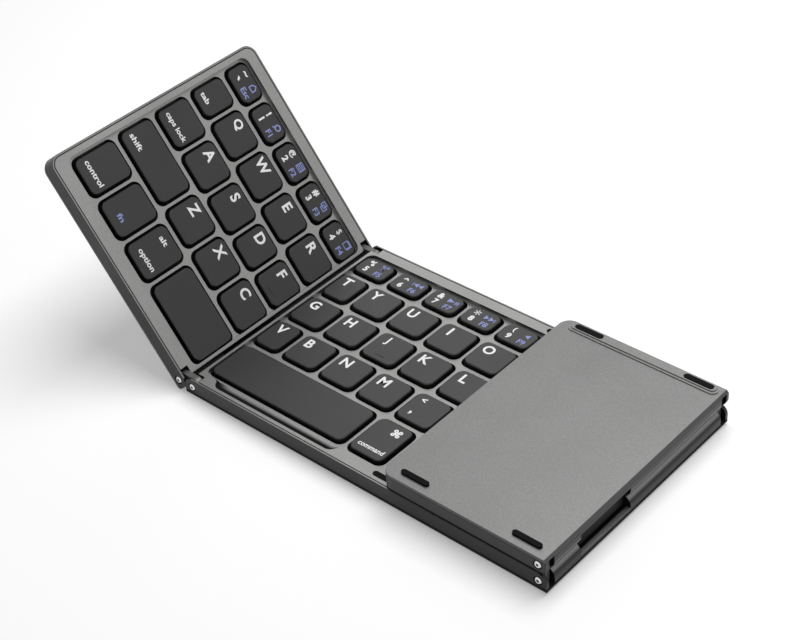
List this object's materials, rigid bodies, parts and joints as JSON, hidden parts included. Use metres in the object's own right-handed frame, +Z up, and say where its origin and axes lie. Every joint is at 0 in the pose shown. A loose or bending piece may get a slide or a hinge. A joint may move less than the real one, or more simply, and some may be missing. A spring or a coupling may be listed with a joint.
{
  "type": "folding keyboard",
  "caption": "Folding keyboard in three panels: the left one is raised, the right one with a touchpad is folded over the centre, on double-pin link hinges.",
  "frame": {"origin": "on the desk, under the middle of the box round the whole keyboard at rest", "axes": "+X to the typist's right, +Y to the back of the keyboard, +Z up"},
  "size_m": [0.2164, 0.0982, 0.0762],
  "materials": {
    "shell": "fine satin",
    "deck": "fine sparkle",
    "back": "fine sparkle",
    "foot_rubber": "matt",
    "sheet_rubber": "matt",
    "pin_steel": "bright",
    "link_metal": "satin",
    "strip": "matt",
    "board": "matt",
    "socket_steel": "satin",
    "pad_surface": "smooth",
    "cell": "foil",
    "key": "fine satin"
  },
  "bodies": {
    "centre_panel": {"centre_frame": "shell", "centre_deck": "deck", "centre_back_plate": "back", "centre_rubber_pads": "foot_rubber", "centre_key_sheet": "sheet_rubber", "main_board": "board", "charge_socket": "socket_steel", "centre_pins": "pin_steel"},
    "left_link_set": {"left_links": "link_metal", "left_cable_strip": "strip"},
    "left_panel": {"left_frame": "shell", "left_deck": "deck", "left_back_plate": "back", "left_rubber_feet": "foot_rubber", "left_key_sheet": "sheet_rubber", "left_pins": "pin_steel"},
    "right_link_set": {"right_links": "link_metal", "right_cable_strip": "strip"},
    "right_panel": {"right_frame": "shell", "right_deck": "deck", "right_back_plate": "back", "right_rubber_feet": "foot_rubber", "touchpad": "pad_surface", "touchpad_board": "board", "battery": "cell", "right_pins": "pin_steel"},
    "key_q_body": {"key_q": "key"},
    "key_w_body": {"key_w": "key"},
    "key_e_body": {"key_e": "key"},
    "key_r_body": {"key_r": "key"},
    "key_a_body": {"key_a": "key"},
    "key_s_body": {"key_s": "key"},
    "key_d_body": {"key_d": "key"},
    "key_f_body": {"key_f": "key"},
    "key_z_body": {"key_z": "key"},
    "key_x_body": {"key_x": "key"},
    "key_c_body": {"key_c": "key"},
    "key_space_left_body": {"key_space_left": "key"},
    "keys_modifier_left_body": {"keys_modifier_left": "key"},
    "keys_number_left_body": {"keys_number_left": "key"},
    "key_t_body": {"key_t": "key"},
    "key_y_body": {"key_y": "key"},
    "key_u_body": {"key_u": "key"},
    "key_i_body": {"key_i": "key"},
    "key_o_body": {"key_o": "key"},
    "key_p_body": {"key_p": "key"},
    "key_g_body": {"key_g": "key"},
    "key_h_body": {"key_h": "key"},
    "key_j_body": {"key_j": "key"},
    "key_k_body": {"key_k": "key"},
    "key_l_body": {"key_l": "key"},
    "key_v_body": {"key_v": "key"},
    "key_b_body": {"key_b": "key"},
    "key_n_body": {"key_n": "key"},
    "key_m_body": {"key_m": "key"},
    "key_space_long_body": {"key_space_long": "key"},
    "keys_modifier_centre_body": {"keys_modifier_centre": "key"},
    "keys_arrow_body": {"keys_arrow": "key"},
    "keys_number_centre_body": {"keys_number_centre": "key"},
    "keys_punctuation_body": {"keys_punctuation": "key"}
  },
  "joints": [
    {"name": "left_link_hinge", "type": "hinge", "parent": "centre_panel", "child": "left_link_set", "pos_m": [-0.04598, 0, 0.0041], "axis": [0, 1, 0], "range_deg": [0, 90]},
    {"name": "left_panel_hinge", "type": "hinge", "parent": "left_link_set", "child": "left_panel", "pos_m": [-0.05278, 0, 0.0041], "axis": [0, 1, 0], "range_deg": [-53, 37]},
    {"name": "right_link_hinge", "type": "hinge", "parent": "centre_panel", "child": "right_link_set", "pos_m": [0.10492, 0, 0.0041], "axis": [0, 1, 0], "range_deg": [0, 90]},
    {"name": "right_panel_hinge", "type": "hinge", "parent": "right_link_set", "child": "right_panel", "pos_m": [0.10492, 0, 0.0109], "axis": [0, 1, 0], "range_deg": [0, 90]},
    {"name": "key_q_press", "type": "slide", "parent": "left_panel", "child": "key_q_body", "axis": [0.7986, 0, 0.6018], "range_m": [-0.0014, 0], "stiffness_N_per_m": 150, "springref_m": 0.001},
    {"name": "key_w_press", "type": "slide", "parent": "left_panel", "child": "key_w_body", "axis": [0.7986, 0, 0.6018], "range_m": [-0.0014, 0], "stiffness_N_per_m": 150, "springref_m": 0.001},
    {"name": "key_e_press", "type": "slide", "parent": "left_panel", "child": "key_e_body", "axis": [0.7986, 0, 0.6018], "range_m": [-0.0014, 0], "stiffness_N_per_m": 150, "springref_m": 0.001},
    {"name": "key_r_press", "type": "slide", "parent": "left_panel", "child": "key_r_body", "axis": [0.7986, 0, 0.6018], "range_m": [-0.0014, 0], "stiffness_N_per_m": 150, "springref_m": 0.001},
    {"name": "key_a_press", "type": "slide", "parent": "left_panel", "child": "key_a_body", "axis": [0.7986, 0, 0.6018], "range_m": [-0.0014, 0], "stiffness_N_per_m": 150, "springref_m": 0.001},
    {"name": "key_s_press", "type": "slide", "parent": "left_panel", "child": "key_s_body", "axis": [0.7986, 0, 0.6018], "range_m": [-0.0014, 0], "stiffness_N_per_m": 150, "springref_m": 0.001},
    {"name": "key_d_press", "type": "slide", "parent": "left_panel", "child": "key_d_body", "axis": [0.7986, 0, 0.6018], "range_m": [-0.0014, 0], "stiffness_N_per_m": 150, "springref_m": 0.001},
    {"name": "key_f_press", "type": "slide", "parent": "left_panel", "child": "key_f_body", "axis": [0.7986, 0, 0.6018], "range_m": [-0.0014, 0], "stiffness_N_per_m": 150, "springref_m": 0.001},
    {"name": "key_z_press", "type": "slide", "parent": "left_panel", "child": "key_z_body", "axis": [0.7986, 0, 0.6018], "range_m": [-0.0014, 0], "stiffness_N_per_m": 150, "springref_m": 0.001},
    {"name": "key_x_press", "type": "slide", "parent": "left_panel", "child": "key_x_body", "axis": [0.7986, 0, 0.6018], "range_m": [-0.0014, 0], "stiffness_N_per_m": 150, "springref_m": 0.001},
    {"name": "key_c_press", "type": "slide", "parent": "left_panel", "child": "key_c_body", "axis": [0.7986, 0, 0.6018], "range_m": [-0.0014, 0], "stiffness_N_per_m": 150, "springref_m": 0.001},
    {"name": "key_space_left_press", "type": "slide", "parent": "left_panel", "child": "key_space_left_body", "axis": [0.7986, 0, 0.6018], "range_m": [-0.0014, 0], "stiffness_N_per_m": 150, "springref_m": 0.001},
    {"name": "keys_modifier_left_press", "type": "slide", "parent": "left_panel", "child": "keys_modifier_left_body", "axis": [0.7986, 0, 0.6018], "range_m": [-0.0014, 0], "stiffness_N_per_m": 150, "springref_m": 0.001},
    {"name": "keys_number_left_press", "type": "slide", "parent": "left_panel", "child": "keys_number_left_body", "axis": [0.7986, 0, 0.6018], "range_m": [-0.0014, 0], "stiffness_N_per_m": 150, "springref_m": 0.001},
    {"name": "key_t_press", "type": "slide", "parent": "centre_panel", "child": "key_t_body", "axis": [0, 0, 1], "range_m": [-0.0014, 0], "stiffness_N_per_m": 150, "springref_m": 0.001},
    {"name": "key_y_press", "type": "slide", "parent": "centre_panel", "child": "key_y_body", "axis": [0, 0, 1], "range_m": [-0.0014, 0], "stiffness_N_per_m": 150, "springref_m": 0.001},
    {"name": "key_u_press", "type": "slide", "parent": "centre_panel", "child": "key_u_body", "axis": [0, 0, 1], "range_m": [-0.0014, 0], "stiffness_N_per_m": 150, "springref_m": 0.001},
    {"name": "key_i_press", "type": "slide", "parent": "centre_panel", "child": "key_i_body", "axis": [0, 0, 1], "range_m": [-0.0014, 0], "stiffness_N_per_m": 150, "springref_m": 0.001},
    {"name": "key_o_press", "type": "slide", "parent": "centre_panel", "child": "key_o_body", "axis": [0, 0, 1], "range_m": [-0.0014, 0], "stiffness_N_per_m": 150, "springref_m": 0.001},
    {"name": "key_p_press", "type": "slide", "parent": "centre_panel", "child": "key_p_body", "axis": [0, 0, 1], "range_m": [-0.0014, 0], "stiffness_N_per_m": 150, "springref_m": 0.001},
    {"name": "key_g_press", "type": "slide", "parent": "centre_panel", "child": "key_g_body", "axis": [0, 0, 1], "range_m": [-0.0014, 0], "stiffness_N_per_m": 150, "springref_m": 0.001},
    {"name": "key_h_press", "type": "slide", "parent": "centre_panel", "child": "key_h_body", "axis": [0, 0, 1], "range_m": [-0.0014, 0], "stiffness_N_per_m": 150, "springref_m": 0.001},
    {"name": "key_j_press", "type": "slide", "parent": "centre_panel", "child": "key_j_body", "axis": [0, 0, 1], "range_m": [-0.0014, 0], "stiffness_N_per_m": 150, "springref_m": 0.001},
    {"name": "key_k_press", "type": "slide", "parent": "centre_panel", "child": "key_k_body", "axis": [0, 0, 1], "range_m": [-0.0014, 0], "stiffness_N_per_m": 150, "springref_m": 0.001},
    {"name": "key_l_press", "type": "slide", "parent": "centre_panel", "child": "key_l_body", "axis": [0, 0, 1], "range_m": [-0.0014, 0], "stiffness_N_per_m": 150, "springref_m": 0.001},
    {"name": "key_v_press", "type": "slide", "parent": "centre_panel", "child": "key_v_body", "axis": [0, 0, 1], "range_m": [-0.0014, 0], "stiffness_N_per_m": 150, "springref_m": 0.001},
    {"name": "key_b_press", "type": "slide", "parent": "centre_panel", "child": "key_b_body", "axis": [0, 0, 1], "range_m": [-0.0014, 0], "stiffness_N_per_m": 150, "springref_m": 0.001},
    {"name": "key_n_press", "type": "slide", "parent": "centre_panel", "child": "key_n_body", "axis": [0, 0, 1], "range_m": [-0.0014, 0], "stiffness_N_per_m": 150, "springref_m": 0.001},
    {"name": "key_m_press", "type": "slide", "parent": "centre_panel", "child": "key_m_body", "axis": [0, 0, 1], "range_m": [-0.0014, 0], "stiffness_N_per_m": 150, "springref_m": 0.001},
    {"name": "key_space_long_press", "type": "slide", "parent": "centre_panel", "child": "key_space_long_body", "axis": [0, 0, 1], "range_m": [-0.0014, 0], "stiffness_N_per_m": 150, "springref_m": 0.001},
    {"name": "keys_modifier_centre_press", "type": "slide", "parent": "centre_panel", "child": "keys_modifier_centre_body", "axis": [0, 0, 1], "range_m": [-0.0014, 0], "stiffness_N_per_m": 150, "springref_m": 0.001},
    {"name": "keys_arrow_press", "type": "slide", "parent": "centre_panel", "child": "keys_arrow_body", "axis": [0, 0, 1], "range_m": [-0.0014, 0], "stiffness_N_per_m": 150, "springref_m": 0.001},
    {"name": "keys_number_centre_press", "type": "slide", "parent": "centre_panel", "child": "keys_number_centre_body", "axis": [0, 0, 1], "range_m": [-0.0014, 0], "stiffness_N_per_m": 150, "springref_m": 0.001},
    {"name": "keys_punctuation_press", "type": "slide", "parent": "centre_panel", "child": "keys_punctuation_body", "axis": [0, 0, 1], "range_m": [-0.0014, 0], "stiffness_N_per_m": 150, "springref_m": 0.001}
  ]
}
